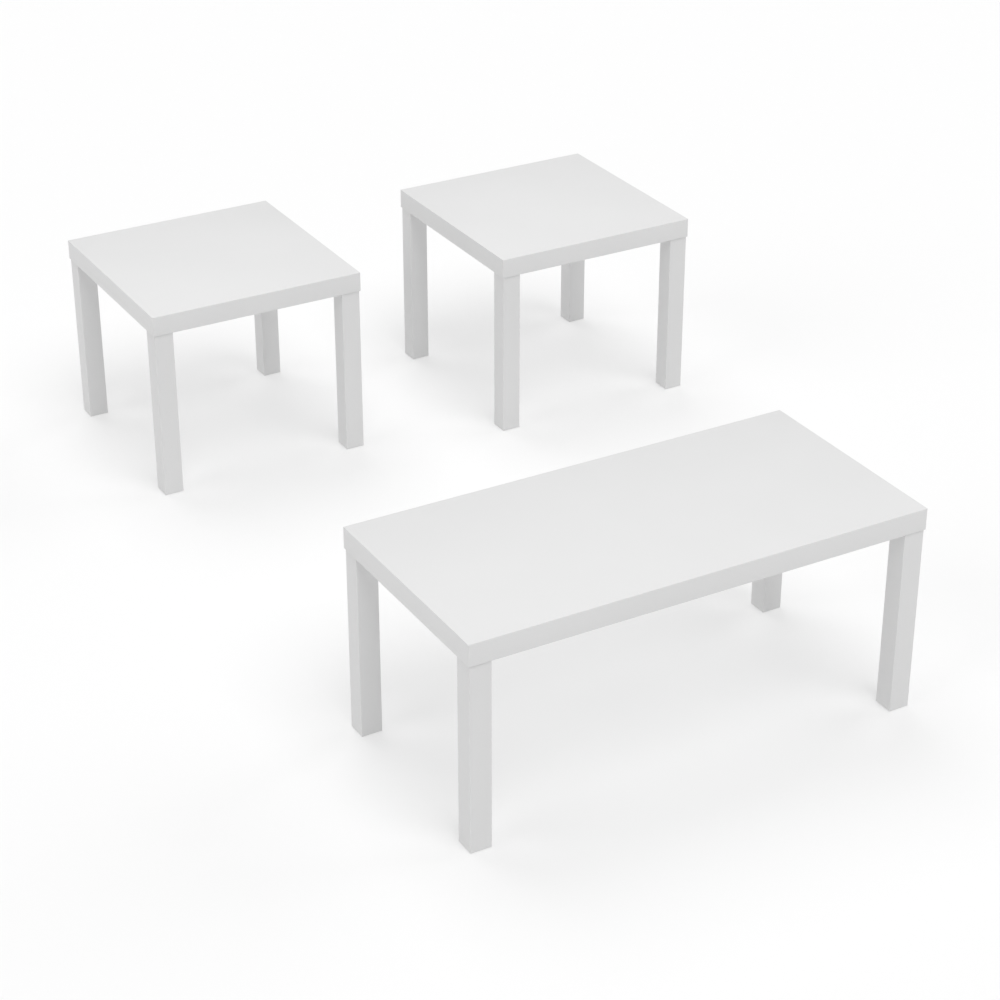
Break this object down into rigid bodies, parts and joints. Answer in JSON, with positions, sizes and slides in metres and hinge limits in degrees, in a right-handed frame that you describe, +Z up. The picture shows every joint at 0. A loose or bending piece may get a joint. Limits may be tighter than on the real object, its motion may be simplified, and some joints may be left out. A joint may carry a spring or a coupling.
{
  "type": "coffee and end table set",
  "caption": "Low oblong coffee table with matching square end tables: thick flat tops flush with square post legs, standing apart on the floor.",
  "frame": {"origin": "on the floor, at the middle of the rectangle that the set stands in", "axes": "+X along the coffee table's long side, +Y from the coffee table towards the end tables, +Z up"},
  "size_m": [1.414, 2.069, 0.45],
  "materials": {
    "foil_board": "satin white foil and paint on fibreboard",
    "edge_band": "satin white edge band",
    "chipboard": "raw chipboard",
    "honeycomb_paper": "raw brown paper",
    "insert_steel": "yellowish zinc plating",
    "bolt_steel": "bright zinc plating",
    "leg_block_wood": "raw softwood",
    "plug_plastic": "matte moulded",
    "glide_plastic": "matte moulded"
  },
  "bodies": {
    "coffee_table": {"coffee_table_top_skin": "foil_board", "coffee_table_bottom_skin": "foil_board", "coffee_table_front_band": "edge_band", "coffee_table_back_band": "edge_band", "coffee_table_left_band": "edge_band", "coffee_table_right_band": "edge_band", "coffee_table_long_rails": "chipboard", "coffee_table_short_rails": "chipboard", "coffee_table_corner_blocks": "chipboard", "coffee_table_honeycomb_core": "honeycomb_paper", "coffee_table_threaded_inserts": "insert_steel", "coffee_table_hanger_bolts": "bolt_steel", "coffee_table_leg_front_left": "foil_board", "coffee_table_leg_front_right": "foil_board", "coffee_table_leg_back_left": "foil_board", "coffee_table_leg_back_right": "foil_board", "coffee_table_leg_top_blocks": "leg_block_wood", "coffee_table_foot_plugs": "plug_plastic", "coffee_table_glides": "glide_plastic"},
    "left_end_table": {"left_end_table_top_skin": "foil_board", "left_end_table_bottom_skin": "foil_board", "left_end_table_front_band": "edge_band", "left_end_table_back_band": "edge_band", "left_end_table_left_band": "edge_band", "left_end_table_right_band": "edge_band", "left_end_table_long_rails": "chipboard", "left_end_table_short_rails": "chipboard", "left_end_table_corner_blocks": "chipboard", "left_end_table_honeycomb_core": "honeycomb_paper", "left_end_table_threaded_inserts": "insert_steel", "left_end_table_hanger_bolts": "bolt_steel", "left_end_table_leg_front_left": "foil_board", "left_end_table_leg_front_right": "foil_board", "left_end_table_leg_back_left": "foil_board", "left_end_table_leg_back_right": "foil_board", "left_end_table_leg_top_blocks": "leg_block_wood", "left_end_table_foot_plugs": "plug_plastic", "left_end_table_glides": "glide_plastic"},
    "right_end_table": {"right_end_table_top_skin": "foil_board", "right_end_table_bottom_skin": "foil_board", "right_end_table_front_band": "edge_band", "right_end_table_back_band": "edge_band", "right_end_table_left_band": "edge_band", "right_end_table_right_band": "edge_band", "right_end_table_long_rails": "chipboard", "right_end_table_short_rails": "chipboard", "right_end_table_corner_blocks": "chipboard", "right_end_table_honeycomb_core": "honeycomb_paper", "right_end_table_threaded_inserts": "insert_steel", "right_end_table_hanger_bolts": "bolt_steel", "right_end_table_leg_front_left": "foil_board", "right_end_table_leg_front_right": "foil_board", "right_end_table_leg_back_left": "foil_board", "right_end_table_leg_back_right": "foil_board", "right_end_table_leg_top_blocks": "leg_block_wood", "right_end_table_foot_plugs": "plug_plastic", "right_end_table_glides": "glide_plastic"}
  },
  "joints": [
    {"name": "left_end_table_slide", "type": "slide", "parent": "coffee_table", "child": "left_end_table", "axis": [0, 1, 0], "range_m": [-1.054, 0]},
    {"name": "right_end_table_slide", "type": "slide", "parent": "coffee_table", "child": "right_end_table", "axis": [0, 1, 0], "range_m": [-0.954, 0]}
  ]
}
